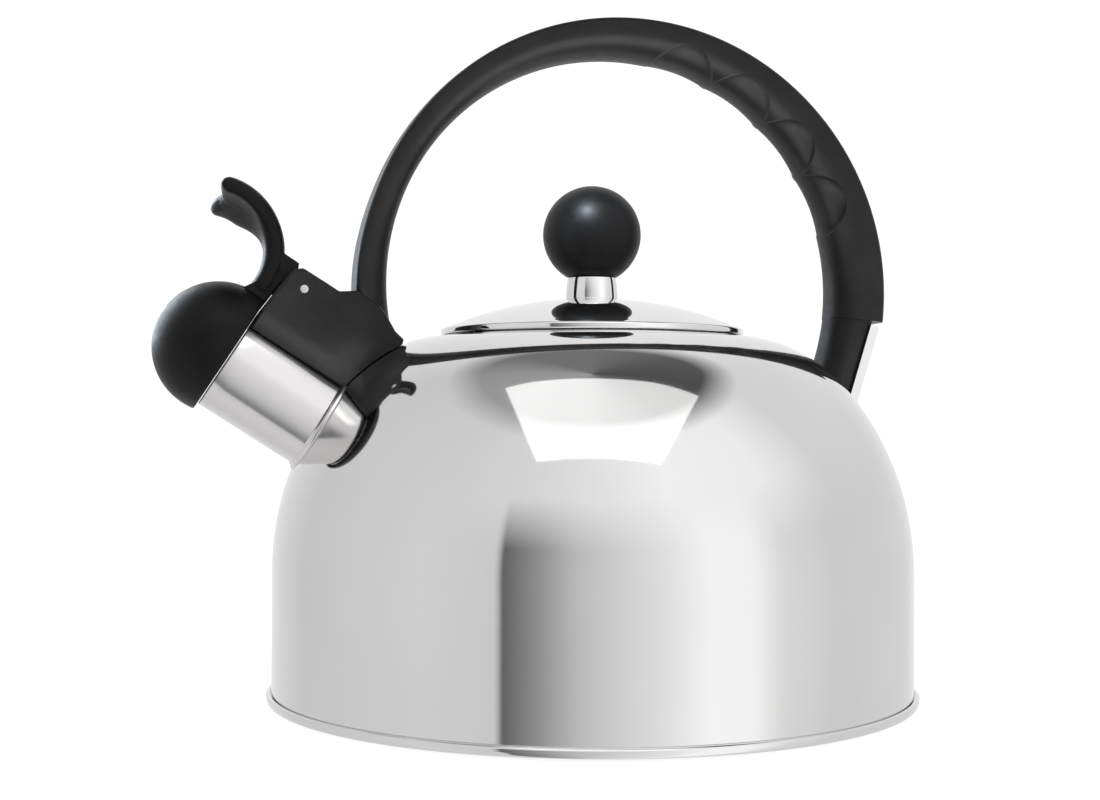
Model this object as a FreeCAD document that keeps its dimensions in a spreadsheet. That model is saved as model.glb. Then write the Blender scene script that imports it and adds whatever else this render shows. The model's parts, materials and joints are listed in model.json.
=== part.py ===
import FreeCAD, Part
import math
import os
import re

import Sketcher

# Stovetop whistling kettle. Millimetres, +Z up. The origin is the centre of the underside that
# rests on the hob; the spout points along -X, the arched handle lies in the XZ plane.

DIMENSIONS = {
    # drawn body
    "sheet_gauge": 0.8,
    "body_radius": 93.2,
    "wall_top": 39.0,
    "shoulder_radius": 80.6,
    "shoulder_angle": 40.4,
    "crown_radius": 42.7,
    "crown_angle": 46.4,
    "neck_radius": 41.2,
    "neck_bottom": 100.5,
    "neck_roll": 1.2,
    # base
    "rim_radius": 94.7,
    "rim_height": 4.0,
    "rim_underside": 1.3,
    "pan_floor": 3.0,
    "pan_step_radius": 87.0,
    "flange_radius": 93.9,
    "seam_depth": 0.8,
    "disc_radius": 80.0,
    # spout, measured along its own axis from the centre of its mouth
    "spout_slope": 32.9,
    "mouth_x": -105.3,
    "mouth_z": 97.4,
    "spout_radius": 14.1,
    "spout_length": 50.0,
    "collar_width": 1.3,
    "collar_height": 0.9,
    "seat_gap": 0.02,
    # lid and knob
    "lid_radius": 44.7,
    "lid_seat_gap": 0.25,
    "lid_shoulder_radius": 42.0,
    "lid_shoulder_height": 109.3,
    "lid_dome_radius": 109.0,
    "skirt_radius": 40.8,
    "skirt_bottom": 98.5,
    "ball_radius": 14.5,
    "ball_centre": 136.6,
    "ball_flat": 124.2,
    "ferrule_foot_radius": 7.7,
    "ferrule_neck_radius": 7.15,
    "knob_bore_radius": 2.2,
    "insert_radius": 3.2,
    "washer_radius": 6.0,
    # screws
    "screw_radius": 1.65,
    "screw_head_radius": 3.4,
    "screw_head_height": 2.0,
    "screw_play": 0.15,
    # handle
    "arch_centre_x": 10.1,
    "arch_centre_z": 120.3,
    "arch_radius": 80.0,
    "arch_inner_x": 6.7,
    "arch_inner_z": 121.0,
    "arch_inner_radius": 67.8,
    "handle_width": 20.0,
    "grip_round": 3.8,
    "back_round": 2.6,
    "front_leg_top": 118.0,
    "foot_step": 111.6,
    "foot_length": 28.0,
    "foot_setback": 1.1,
    "groove_radius": 12.0,
    "groove_depth": 1.3,
    "first_groove": 76.0,
    "groove_pitch": 17.0,
    "body_clearance": 0.25,
    # rear bracket, measured from its top outer corner
    "bracket_x": 87.4,
    "bracket_z": 110.1,
    "bracket_lean": 17.4,
    "bracket_length": 32.0,
    "bracket_flange": 2.7,
    "bracket_gauge": 1.0,
    "bracket_screw_drop": 11.0,
    "insert_depth": 11.2,
    # hinge housing, lever and whistle, in the spout's frame: up is the distance from the spout's
    # axis towards the handle, out is the distance in front of the mouth
    "pin_up": 28.2,
    "pin_out": -5.6,
    "pin_radius": 1.25,
    "housing_width": 21.0,
    "housing_round": 4.0,
    "housing_foot": 12.0,
    "housing_top": 33.2,
    "saddle_half_width": 7.0,
    "saddle_length": 14.0,
    "saddle_top": 16.3,
    "slot_width": 11.2,
    "slot_floor": 20.0,
    "slot_back": -14.8,
    "slot_top": 41.0,
    "knuckle_radius": 5.0,
    "knuckle_width": 10.6,
    "spring_gap": 4.4,
    "spring_room": 3.4,
    "coil_radius": 2.6,
    "spring_wire": 0.45,
    "running_clearance": 0.05,
    "cap_radius": 18.2,
    "cap_up": 2.3,
    "cap_out": 4.8,
    "cap_face": 1.5,
    "cap_wall": 2.0,
    "whistle_radius": 14.0,
    "whistle_wall": 1.0,
    "whistle_depth": 5.5,
    "whistle_hole_radius": 1.6,
    "disc_gauge": 0.8,
    "vent_radius": 3.1,
    "arm_up": 24.0,
    "arm_out": 22.0,
    "arm_back_radius": 20.1,
    "arm_front_radius": 14.5,
    "arm_width": 12.0,
    "paddle_width": 22.0,
    "paddle_drop": 5.0,
}

doc = FreeCAD.newDocument("kettle")
dim = doc.addObject("Spreadsheet::Sheet", "dim")
for row, (alias, number) in enumerate(DIMENSIONS.items(), start=1):
    dim.set(f"A{row}", alias)
    dim.set(f"B{row}", str(number))
    dim.setAlias(f"B{row}", alias)
doc.recompute()

ALIASES = re.compile(r"\b(" + "|".join(DIMENSIONS) + r")\b")
nodes = []


def bound(expression):
    """The expression as another object reads it, with each alias named in the sheet."""
    return ALIASES.sub(r"dim.\1", expression)


def size(expression):
    """The expression's present value."""
    return float(dim.evalExpression(expression))


def bind(thing, **properties):
    for name, expression in properties.items():
        thing.setExpression(name.replace("__", "."), bound(expression))
    return thing


def arc_between(start, end, radius):
    """Centre of the arc under a half turn from start to end: it turns left if radius > 0."""
    chord = end - start
    side = FreeCAD.Vector(-chord.y, chord.x, 0).normalize()
    height = math.sqrt(radius * radius - chord.Length ** 2 / 4)
    return (start + end) / 2 + side * math.copysign(height, radius)


def outline(body, corners):
    """A closed sketch on the body's XZ plane. A corner is (across, up), reached by a straight
    line, or (across, up, radius), reached by an arc. The arc turns left, or right where the
    radius is written with a minus sign."""
    sketch = body.newObject("Sketcher::SketchObject", body.Name + "_outline")
    plane = [item for item in body.Origin.OriginFeatures if item.Role == "XZ_Plane"][0]
    sketch.AttachmentSupport = [(plane, "")]
    sketch.MapMode = "FlatFace"
    places = [FreeCAD.Vector(size(corner[0]), size(corner[1]), 0) for corner in corners]
    ends = []
    for index, corner in enumerate(corners):
        start, end = places[index - 1], places[index]
        if len(corner) == 2:
            edge = sketch.addGeometry(Part.LineSegment(start, end), False)
            ends.append((edge, 1, 2))
            continue
        radius = size(corner[2])
        centre = arc_between(start, end, radius)
        first, last = (start, end) if radius > 0 else (end, start)
        angles = [math.atan2(place.y - centre.y, place.x - centre.x) for place in (first, last)]
        circle = Part.Circle(centre, FreeCAD.Vector(0, 0, 1), abs(radius))
        sweep = (angles[1] - angles[0]) % (2 * math.pi)
        edge = sketch.addGeometry(Part.ArcOfCircle(circle, angles[0], angles[0] + sweep), False)
        ends.append((edge, 1, 2) if radius > 0 else (edge, 2, 1))
        number = sketch.addConstraint(Sketcher.Constraint("Radius", edge, abs(radius)))
        sketch.setExpression(f"Constraints[{number}]", bound(corner[2].lstrip("-")))
    for index, (edge, begin, finish) in enumerate(ends):
        before = ends[index - 1]
        sketch.addConstraint(Sketcher.Constraint("Coincident", before[0], before[2], edge, begin))
        for kind, value, text in (("DistanceX", places[index].x, corners[index][0]),
                                  ("DistanceY", places[index].y, corners[index][1])):
            pin = Sketcher.Constraint(kind, -1, 1, edge, finish, value)
            number = sketch.addConstraint(pin)
            sketch.setExpression(f"Constraints[{number}]", bound(text))
    return sketch


# The slanting frames: where their origins lie and how far they turn about Y. In the spout's frame
# X is up from the axis and Z is out of the mouth; the bracket's starts at its top outer corner.
FRAMES = {
    "spout": ("mouth_x", "mouth_z", "270 + spout_slope"),
    "bracket": ("bracket_x", "bracket_z", "bracket_lean"),
}


def placement(frame):
    """The frame's present placement, or the kettle's own where frame is None."""
    if frame is None:
        return FreeCAD.Placement()
    x, z, angle = [size(text) for text in FRAMES[frame]]
    return FreeCAD.Placement(FreeCAD.Vector(x, 0, z), FreeCAD.Rotation(FreeCAD.Vector(0, 1, 0), angle))


def place(thing, frame):
    """Put a piece in a frame and bind its placement to the sheet."""
    thing.Placement = placement(frame)
    names = ("Placement__Base__x", "Placement__Base__z", "Placement__Rotation__Angle")
    return bind(thing, **dict(zip(names, FRAMES[frame])))


def turned(label, corners, frame=None):
    """A piece turned about its own Z axis."""
    body = doc.addObject("PartDesign::Body", label)
    sketch = outline(body, corners)
    revolution = body.newObject("PartDesign::Revolution", label + "_turn")
    revolution.Profile = sketch
    revolution.ReferenceAxis = (sketch, ["V_Axis"])
    revolution.Angle = 360
    return place(body, frame) if frame else body


def plate(label, corners, width, frame=None, rounds=()):
    """A piece cut from a plate that lies in the XZ plane. Each round is (radius, test), where
    test picks the edges of the plate's faces by a point on them."""
    body = doc.addObject("PartDesign::Body", label)
    pad = body.newObject("PartDesign::Pad", label + "_pad")
    pad.Profile = outline(body, corners)
    pad.SideType = "Symmetric"
    bind(pad, Length=width)
    base = pad
    for index, (radius, test) in enumerate(rounds):
        doc.recompute()
        names = []
        for number, edge in enumerate(base.Shape.Edges, start=1):
            middle = edge.valueAt((edge.FirstParameter + edge.LastParameter) / 2)
            if abs(edge.BoundBox.YLength) < 1e-6 and test(middle, edge):
                names.append(f"Edge{number}")
        fillet = body.newObject("PartDesign::Fillet", f"{label}_round{index}")
        fillet.Base = (base, names)
        bind(fillet, Radius=radius)
        base = fillet
    return place(body, frame) if frame else body


def cylinder(name, radius, height, position, turn, frame=None):
    """A round tool or pin. position is where its start lies and turn its axis, "X", "Y" or "Z"."""
    tool = doc.addObject("Part::Cylinder", name)
    bind(tool, Radius=radius, Height=height)
    axes = {"X": FreeCAD.Vector(1, 0, 0), "Y": FreeCAD.Vector(0, 1, 0), "Z": FreeCAD.Vector(0, 0, 1)}
    turning = FreeCAD.Rotation(axes["Z"], axes[turn])
    own = FreeCAD.Placement(FreeCAD.Vector(*[size(value) for value in position]), turning)
    tool.Placement = placement(frame).multiply(own)
    return tool


def box(name, low, high, frame=None):
    tool = doc.addObject("Part::Box", name)
    bind(tool, Length=f"({high[0]}) - ({low[0]})", Width=f"({high[1]}) - ({low[1]})",
         Height=f"({high[2]}) - ({low[2]})")
    own = FreeCAD.Placement(FreeCAD.Vector(*[size(value) for value in low]), FreeCAD.Rotation())
    tool.Placement = placement(frame).multiply(own)
    return tool


def cut(label, base, *tools):
    for index, tool in enumerate(tools):
        last = index == len(tools) - 1
        step = doc.addObject("Part::Cut", label if last else f"{label}_cut{index}")
        step.Base, step.Tool = base, tool
        base = step
    return base


def fuse(label, *pieces):
    joined = doc.addObject("Part::MultiFuse", label)
    joined.Shapes = list(pieces)
    joined.Refine = True
    return joined


def common(label, *pieces):
    shared = doc.addObject("Part::MultiCommon", label)
    shared.Shapes = list(pieces)
    return shared


def node(label, thing):
    """Name a finished piece: the label is also its file's name."""
    thing.Label = label
    nodes.append(thing)
    return thing


# The body's outside: wall, shoulder arc and crown arc, each tangent to the last.
SHOULDER_X = "(body_radius - shoulder_radius * (1 - cos(shoulder_angle)))"
SHOULDER_Z = "(wall_top + shoulder_radius * sin(shoulder_angle))"
CROWN_X = (f"({SHOULDER_X} - crown_radius * (cos(shoulder_angle)"
           " - cos(shoulder_angle + crown_angle)))")
CROWN_Z = (f"({SHOULDER_Z} + crown_radius * (sin(shoulder_angle + crown_angle)"
           " - sin(shoulder_angle)))")


def body_profile(offset):
    """The outside grown by offset, from the foot of the wall to the crown."""
    return [
        (f"body_radius + {offset}", "wall_top"),
        (f"{SHOULDER_X} + {offset} * cos(shoulder_angle)",
         f"{SHOULDER_Z} + {offset} * sin(shoulder_angle)", f"shoulder_radius + {offset}"),
        (f"{CROWN_X} + {offset} * cos(shoulder_angle + crown_angle)",
         f"{CROWN_Z} + {offset} * sin(shoulder_angle + crown_angle)", f"crown_radius + {offset}"),
    ]


def body_block(label, offset):
    """The solid space inside the body's outside grown by offset, for trimming what meets it."""
    corners = [("0", "10"), (f"body_radius + {offset}", "10")]
    corners += body_profile(offset)
    corners += [("0", f"{CROWN_Z} + {offset}")]
    return turned(label, corners)


def make_body():
    inner = body_profile("(-sheet_gauge)")
    corners = [
        ("body_radius - sheet_gauge", "rim_height - 2 * seam_depth"),
        ("flange_radius", "rim_height - 2 * seam_depth"),
        ("flange_radius", "rim_height - seam_depth - 0.1"),
        ("body_radius", "rim_height - seam_depth - 0.1"),
    ]
    corners += body_profile("0")
    corners += [
        ("neck_radius + neck_roll", CROWN_Z),
        ("neck_radius", f"{CROWN_Z} - neck_roll", "neck_roll"),
        ("neck_radius", "neck_bottom"),
        ("neck_radius + sheet_gauge", "neck_bottom"),
        ("neck_radius + sheet_gauge", f"{CROWN_Z} - sheet_gauge"),
        (inner[2][0], inner[2][1]),
        (inner[1][0], inner[1][1], "-(crown_radius - sheet_gauge)"),
        (inner[0][0], inner[0][1], "-(shoulder_radius - sheet_gauge)"),
    ]
    blank = turned("body_blank", corners)
    bore = cylinder("body_spout_hole", "spout_radius - sheet_gauge", "spout_length",
                    ("0", "0", "-spout_length - 12"), "Z", "spout")
    node("body_shell", cut("body_shell", blank, bore))


def make_base():
    node("base_pan", turned("base_pan", [
        ("0", "pan_floor"),
        ("pan_step_radius", "pan_floor"),
        ("pan_step_radius + 2", "rim_underside"),
        ("rim_radius - 1.6", "rim_underside"),
        ("rim_radius", "rim_underside + 1.4", "1.6"),
        ("rim_radius", "rim_height - seam_depth"),
        ("rim_radius - seam_depth", "rim_height", "seam_depth"),
        ("body_radius + 0.1", "rim_height"),
        ("body_radius + 0.1", "rim_height - seam_depth"),
        ("flange_radius + 0.05", "rim_height - seam_depth"),
        ("flange_radius + 0.05", "rim_height - 2 * seam_depth - 0.05"),
        ("body_radius - sheet_gauge - 0.4", "rim_height - 2 * seam_depth - 0.05"),
        ("body_radius - sheet_gauge - 0.4", "pan_floor + sheet_gauge"),
        ("0", "pan_floor + sheet_gauge"),
    ]))
    node("heat_spreader", turned("heat_spreader", [
        ("0", "sheet_gauge"),
        ("disc_radius - 0.1", "sheet_gauge"),
        ("disc_radius - 0.1", "pan_floor"),
        ("0", "pan_floor"),
    ]))
    node("base_cover", turned("base_cover", [
        ("0", "0"),
        ("disc_radius", "0"),
        ("disc_radius + sheet_gauge", "sheet_gauge", "sheet_gauge"),
        ("disc_radius + sheet_gauge", "pan_floor"),
        ("disc_radius", "pan_floor"),
        ("disc_radius", "sheet_gauge"),
        ("0", "sheet_gauge"),
    ]))


def make_spout():
    tube = turned("spout_blank", [
        ("spout_radius - sheet_gauge", "-spout_length"),
        ("spout_radius", "-spout_length"),
        ("spout_radius", "-0.4"),
        ("spout_radius - 0.4", "0", "0.4"),
        ("spout_radius - sheet_gauge", "0"),
    ], "spout")
    node("spout_tube", cut("spout_tube", tube, body_block("spout_trim", "0")))
    ring = turned("collar_blank", [
        ("spout_radius + seat_gap", "-spout_length"),
        ("spout_radius + collar_width", "-spout_length"),
        ("spout_radius + collar_width", "-10"),
        ("spout_radius + seat_gap", "-10"),
    ], "spout")
    skin = common("collar_skin", ring, body_block("collar_outside", "collar_height"))
    node("spout_collar", cut("spout_collar", skin, body_block("collar_inside", "seat_gap")))


LID_BOTTOM = f"({CROWN_Z} + lid_seat_gap)"


def lid_height(radius):
    """Height of the lid's dome at a distance from its axis."""
    return (f"(lid_shoulder_height + sqrt(lid_dome_radius^2 - ({radius})^2)"
            " - sqrt(lid_dome_radius^2 - lid_shoulder_radius^2))")


def make_lid():
    node("lid_shell", turned("lid_shell", [
        ("knob_bore_radius", f"{lid_height('knob_bore_radius')} - sheet_gauge"),
        ("lid_shoulder_radius - 0.5", f"{lid_height('lid_shoulder_radius - 0.5')} - sheet_gauge",
         "-lid_dome_radius"),
        ("lid_radius - 1.9", f"{LID_BOTTOM} + 0.7"),
        ("lid_radius - 1.9", LID_BOTTOM),
        ("lid_radius - 0.6", LID_BOTTOM),
        ("lid_radius", f"{LID_BOTTOM} + 0.6", "0.6"),
        ("lid_radius", f"{LID_BOTTOM} + 0.9"),
        ("lid_radius - 0.6", f"{LID_BOTTOM} + 1.5", "0.6"),
        ("lid_radius - 1.2", f"{LID_BOTTOM} + 1.5"),
        ("lid_shoulder_radius", "lid_shoulder_height"),
        ("knob_bore_radius", lid_height("knob_bore_radius"), "lid_dome_radius"),
    ]))
    node("lid_skirt", turned("lid_skirt", [
        ("skirt_radius - sheet_gauge", "skirt_bottom + 1"),
        ("skirt_radius", "skirt_bottom", "1.4"),
        ("skirt_radius", f"{lid_height('skirt_radius')} - sheet_gauge - 0.1"),
        ("skirt_radius - sheet_gauge", f"{lid_height('skirt_radius')} - sheet_gauge - 0.1"),
    ]))


def make_knob():
    foot = lid_height("ferrule_foot_radius")
    node("knob_ferrule", turned("knob_ferrule", [
        ("knob_bore_radius", lid_height("knob_bore_radius") + " + seat_gap"),
        ("ferrule_foot_radius - 0.5", f"{foot} + 0.1"),
        ("ferrule_foot_radius", f"{foot} + 0.9", "1"),
        ("ferrule_neck_radius", "ball_flat", "40"),
        ("knob_bore_radius", "ball_flat"),
    ]))
    node("knob_ball", turned("knob_ball", [
        ("insert_radius", "ball_flat"),
        ("sqrt(ball_radius^2 - (ball_centre - ball_flat)^2)", "ball_flat"),
        ("ball_radius", "ball_centre", "ball_radius"),
        ("0", "ball_centre + ball_radius", "ball_radius"),
        ("0", "ball_centre - 1"),
        ("insert_radius", "ball_centre - 1"),
    ]))
    node("knob_insert", turned("knob_insert", [
        ("screw_radius", "ball_flat + 0.1"),
        ("insert_radius", "ball_flat + 0.1"),
        ("insert_radius", "ball_centre - 1"),
        ("screw_radius", "ball_centre - 1"),
    ]))
    washer_top = f"({lid_height('washer_radius')} - sheet_gauge - 0.05)"
    washer_base = f"({washer_top} - sheet_gauge)"
    node("knob_washer", turned("knob_washer", [
        ("knob_bore_radius", washer_base),
        ("washer_radius", washer_base),
        ("washer_radius", washer_top),
        ("knob_bore_radius", washer_top),
    ]))
    node("knob_screw", turned("knob_screw", [
        ("0", f"{washer_base} - screw_head_height"),
        ("screw_head_radius - 1.2", f"{washer_base} - screw_head_height"),
        ("screw_head_radius", f"{washer_base} - screw_head_height + 1.2", "1.6"),
        ("screw_head_radius", washer_base),
        ("screw_radius", washer_base),
        ("screw_radius", "ball_centre - 2.5"),
        ("0", "ball_centre - 2.5"),
    ]))


def arch_x(height, centre_x, centre_z, radius, side):
    """Where a circle of the arch stands at a height, on the spout's side (-) or the rear (+)."""
    return f"({centre_x} {side} sqrt({radius}^2 - ({height} - {centre_z})^2))"


def make_arch():
    outer = ("arch_centre_x", "arch_centre_z", "arch_radius")
    inner = ("arch_inner_x", "arch_inner_z", "arch_inner_radius")
    corners = [
        ("-76", "100"),
        (arch_x("front_leg_top", *outer, "-"), "front_leg_top"),
        ("arch_centre_x", "arch_centre_z + arch_radius", "-arch_radius"),
        (arch_x("foot_step", *outer, "+"), "foot_step", "-arch_radius"),
        ("bracket_x - foot_setback", "foot_step - 0.4"),
        ("bracket_x - foot_setback - foot_length * sin(bracket_lean)",
         "bracket_z - foot_length * cos(bracket_lean)"),
        ("64", "86"),
        (arch_x("95.5", *inner, "+"), "95.5"),
        ("arch_inner_x", "arch_inner_z + arch_inner_radius", "arch_inner_radius"),
        (arch_x("99", *inner, "-"), "99", "arch_inner_radius"),
        ("-62", "92"),
    ]

    def along(radius):
        return lambda middle, edge: abs(getattr(edge.Curve, "Radius", 0) - size(radius)) < 0.01

    return plate("arch", corners, "handle_width",
                 rounds=[("back_round", along("arch_radius")), ("grip_round", along("arch_inner_radius"))])


def make_housing():
    corners = [
        ("housing_foot", "1.1"),
        ("housing_top - 4.4", "0"),
        ("housing_top", "-5.2", "5.4"),
        ("housing_top", "-14.2"),
        ("housing_top + 4.3", "-19"),
        ("housing_top + 3.4", "-29.5"),
        ("housing_top - 1.1", "-36.4", "-12"),
        ("2 * housing_foot", "-38"),
        ("housing_foot", "-36"),
    ]

    def underside(middle, edge):
        return abs(middle.x - size("housing_foot")) < 0.01

    return plate("housing", corners, "housing_width", "spout", rounds=[("housing_round", underside)])


def make_handle():
    blank = fuse("handle_blank", make_arch(), make_housing())
    slot = box("lever_slot", ("slot_floor", "-slot_width / 2", "slot_back"),
               ("slot_top", "slot_width / 2", "10"), "spout")
    pin_hole = cylinder("pin_hole", "pin_radius + 0.02", "housing_width + 4",
                        ("pin_up", "-housing_width / 2 - 2", "pin_out"), "Y", "spout")
    front_hole = cylinder("front_screw_hole", "screw_radius + screw_play", "12",
                          ("housing_foot", "0", "-saddle_length / 2"), "X", "spout")
    rear_hole = cylinder("rear_insert_hole", "insert_radius", "insert_depth - 0.2",
                         ("-insert_depth - 0.3", "0", "-bracket_screw_drop"), "X", "bracket")
    recesses = [
        box(f"flange_recess{index}", ("-bracket_flange - 0.15", low, "-bracket_length"),
            ("2", high, "0.3"), "bracket")
        for index, (low, high) in enumerate([
            ("-handle_width", "-handle_width / 2 + bracket_gauge + 0.1"),
            ("handle_width / 2 - bracket_gauge - 0.1", "handle_width")])
    ]
    spout_room = cylinder("spout_room", "spout_radius + 0.2", "80", ("0", "0", "-60"), "Z", "spout")
    collar_reach = cylinder("collar_reach", "spout_radius + collar_width + 0.2", "60",
                            ("0", "0", "-60"), "Z", "spout")
    collar_room = common("collar_room", collar_reach, body_block("collar_lift", "collar_height + 0.2"))
    saddle_room = box("saddle_room", ("10", "-saddle_half_width - 0.2", "-saddle_length - 0.3"),
                      ("saddle_top + 0.1", "saddle_half_width + 0.2", "0.4"), "spout")
    grooves = []
    for index in range(4):
        bearing = f"(first_groove - {index} * groove_pitch)"
        reach = "(arch_inner_radius + groove_depth - groove_radius)"
        grooves.append(cylinder(f"finger_groove{index}", "groove_radius", "2 * handle_width",
                                (f"arch_inner_x + {reach} * cos{bearing}", "-handle_width",
                                 f"arch_inner_z + {reach} * sin{bearing}"), "Y"))
    node("handle", cut("handle", blank, body_block("handle_trim", "body_clearance"), spout_room,
                       collar_room, slot, saddle_room, pin_hole, front_hole, rear_hole, *recesses, *grooves))


def make_front_mount():
    block = box("saddle_block", ("10", "-saddle_half_width", "-saddle_length"),
                ("saddle_top", "saddle_half_width", "0"), "spout")
    tube = cylinder("saddle_seat", "spout_radius + seat_gap", "80", ("0", "0", "-60"), "Z", "spout")
    middle = ("0", "-saddle_length / 2")
    hole = cylinder("saddle_hole", "screw_radius", "12", ("12", *middle), "X", "spout")
    node("front_saddle", cut("front_saddle", block, tube, hole))
    shank = cylinder("front_shank", "screw_radius", "slot_floor - 14",
                     ("14.6", *middle), "X", "spout")
    head = cylinder("front_head", "screw_head_radius", "screw_head_height + 0.2",
                    ("slot_floor + 0.05", *middle), "X", "spout")
    node("front_screw", fuse("front_screw", shank, head))


def make_rear_mount():
    channel = box("channel_block", ("-bracket_flange", "-handle_width / 2", "-bracket_length"),
                  ("0", "handle_width / 2", "0"), "bracket")
    inside = box("channel_inside", ("-9", "-handle_width / 2 + bracket_gauge", "-60"),
                 ("-bracket_gauge", "handle_width / 2 - bracket_gauge", "2"), "bracket")
    middle = ("0", "-bracket_screw_drop")
    hole = cylinder("channel_hole", "screw_radius + screw_play", "6", ("-4", *middle), "X", "bracket")
    node("rear_bracket", cut("rear_bracket", channel, inside, hole, body_block("channel_trim", "seat_gap")))
    insert = cylinder("insert_outside", "insert_radius", "insert_depth - 1.6",
                      ("-insert_depth", *middle), "X", "bracket")
    thread = cylinder("insert_thread", "screw_radius", "12", ("-13", *middle), "X", "bracket")
    node("rear_insert", cut("rear_insert", insert, thread))
    shank = cylinder("rear_shank", "screw_radius", "9.7", ("-9.5", *middle), "X", "bracket")
    head = cylinder("rear_head", "screw_head_radius", "screw_head_height",
                    ("0.1", *middle), "X", "bracket")
    node("rear_screw", fuse("rear_screw", shank, head))


def make_hinge():
    node("hinge_pin", cylinder("hinge_pin", "pin_radius", "housing_width + 0.3",
                               ("pin_up", "-housing_width / 2 - 0.15", "pin_out"), "Y", "spout"))
    coil = cylinder("coil_outside", "coil_radius", "spring_gap - 0.6",
                    ("pin_up", "-spring_gap / 2 + 0.3", "pin_out"), "Y", "spout")
    hollow = cylinder("coil_inside", "pin_radius + 0.35", "spring_gap",
                      ("pin_up", "-spring_gap / 2", "pin_out"), "Y", "spout")
    fixed_leg = cylinder("spring_fixed_leg", "spring_wire", "6.5",
                         ("pin_up - coil_radius + 0.5", "1.3", "pin_out - 7.5"), "Z", "spout")
    node("hinge_spring", fuse("hinge_spring", cut("spring_coil", coil, hollow), fixed_leg))


def make_paddle():
    """The thumb lever: it curls forward round a centre above the cap, widening from the arm to
    the paddle, and its far half drops towards the cap so that the thumb rolls it."""
    up, out = size("arm_up"), size("arm_out")
    root, tip = -93, 7
    sections = []
    for turn in (root, -70, -45, -20, -5, tip):
        along = (turn - root) / (tip - root)
        half = size("arm_width") / 2 * (1 - along) + size("paddle_width") / 2 * along
        drop = size("paddle_drop") * along
        corners = []
        for side, radius in ((-1, "arm_back_radius"), (-1, "arm_front_radius"),
                             (1, "arm_front_radius"), (1, "arm_back_radius")):
            reach = size(radius) - (drop if side > 0 else 0)
            corners.append(FreeCAD.Vector(up + reach * math.cos(math.radians(turn)), side * half,
                                          out + reach * math.sin(math.radians(turn))))
        sections.append(Part.makePolygon(corners + corners[:1]))
    paddle = doc.addObject("Part::Feature", "lever_paddle")
    paddle.Shape = Part.makeLoft(sections, True, False)
    paddle.Placement = placement("spout")
    return paddle


def make_lever():
    face = "sqrt(cap_radius^2 - (cap_out - cap_face)^2)"
    dome = turned("cap_dome", [
        ("0", "cap_face"),
        (face, "cap_face"),
        ("cap_radius", "cap_out", "cap_radius"),
        ("0", "cap_out + cap_radius", "cap_radius"),
    ])
    lift = FreeCAD.Placement(FreeCAD.Vector(size("cap_up"), 0, 0), FreeCAD.Rotation())
    dome.Placement = placement("spout").multiply(lift)
    root = plate("lever_root", [
        ("12", "cap_face + 0.3"),
        ("arm_up", "cap_face + 0.3"),
        ("arm_up + 2", "arm_out - arm_back_radius"),
        ("arm_up + 2", "arm_out - arm_front_radius"),
        ("18", "8"),
        ("12", "8"),
    ], "arm_width", "spout")
    arm = make_paddle()
    knuckle = plate("lever_knuckle", [
        ("pin_up - 4.6", "4"),
        ("34.1", "4.4"),
        ("34.1", "-0.6"),
        ("pin_up + 3.2", "pin_out + 3.9"),
        ("pin_up", "pin_out"),
        ("pin_up - 4.6", "pin_out + 2"),
    ], "knuckle_width", "spout")
    barrel = cylinder("lever_barrel", "knuckle_radius", "knuckle_width",
                      ("pin_up", "-knuckle_width / 2", "pin_out"), "Y", "spout")
    blank = fuse("lever_blank", dome, root, arm, knuckle, barrel)
    pin_hole = cylinder("lever_pin_hole", "pin_radius + running_clearance", "40",
                        ("pin_up", "-20", "pin_out"), "Y", "spout")
    spring_room = cylinder("lever_spring_room", "spring_room", "spring_gap",
                           ("pin_up", "-spring_gap / 2", "pin_out"), "Y", "spout")
    leg_room = box("lever_leg_room", ("pin_up - 6", "-spring_gap / 2", "pin_out - 6"),
                   ("pin_up + 1", "spring_gap / 2", "pin_out"), "spout")
    bore = cylinder("cap_bore", "whistle_radius + 0.05", "whistle_depth", ("0", "0", "0"), "Z", "spout")
    hollow = turned("cap_hollow", [
        ("0", "whistle_depth"),
        ("sqrt((cap_radius - cap_wall)^2 - (whistle_depth - cap_out)^2)", "whistle_depth"),
        ("0", "cap_out + cap_radius - cap_wall", "cap_radius - cap_wall"),
    ])
    hollow.Placement = dome.Placement
    vent = cylinder("cap_vent", "vent_radius", "30", ("cap_up", "0", "8"), "Z", "spout")
    node("whistle_cap", cut("whistle_cap", blank, pin_hole, spring_room, leg_room, bore, hollow, vent))


def make_whistle():
    node("whistle_ring", turned("whistle_ring", [
        ("whistle_radius - whistle_wall", "0.5"),
        ("whistle_radius", "0.5"),
        ("whistle_radius", "whistle_depth - 0.05"),
        ("whistle_radius - whistle_wall", "whistle_depth - 0.05"),
    ], "spout"))
    for name, level in (("whistle_front_disc", "0.9"), ("whistle_back_disc", "3.9")):
        node(name, turned(name, [
            ("whistle_hole_radius", level),
            ("whistle_radius - whistle_wall - seat_gap", level),
            ("whistle_radius - whistle_wall - seat_gap", f"{level} + disc_gauge"),
            ("whistle_hole_radius", f"{level} + disc_gauge"),
        ], "spout"))


make_body()
make_base()
make_spout()
make_lid()
make_knob()
make_handle()
make_front_mount()
make_rear_mount()
make_hinge()
make_lever()
make_whistle()
doc.recompute()

for thing in doc.Objects:
    if "Invalid" in thing.State or "Error" in thing.State:
        raise RuntimeError(f"{thing.Name} failed: {thing.State}")
os.makedirs("parts", exist_ok=True)
for thing in nodes:
    shape = thing.Shape
    if shape.isNull() or not shape.isValid() or not shape.Solids:
        raise RuntimeError(f"{thing.Label} has no valid solid")
    print(f"{thing.Label:20s} solids {len(shape.Solids)} volume {shape.Volume:10.1f}")
    shape.exportStep(f"parts/{thing.Label}.step")
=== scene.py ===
import json
import math

import bpy
from mathutils import Matrix, Vector


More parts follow.
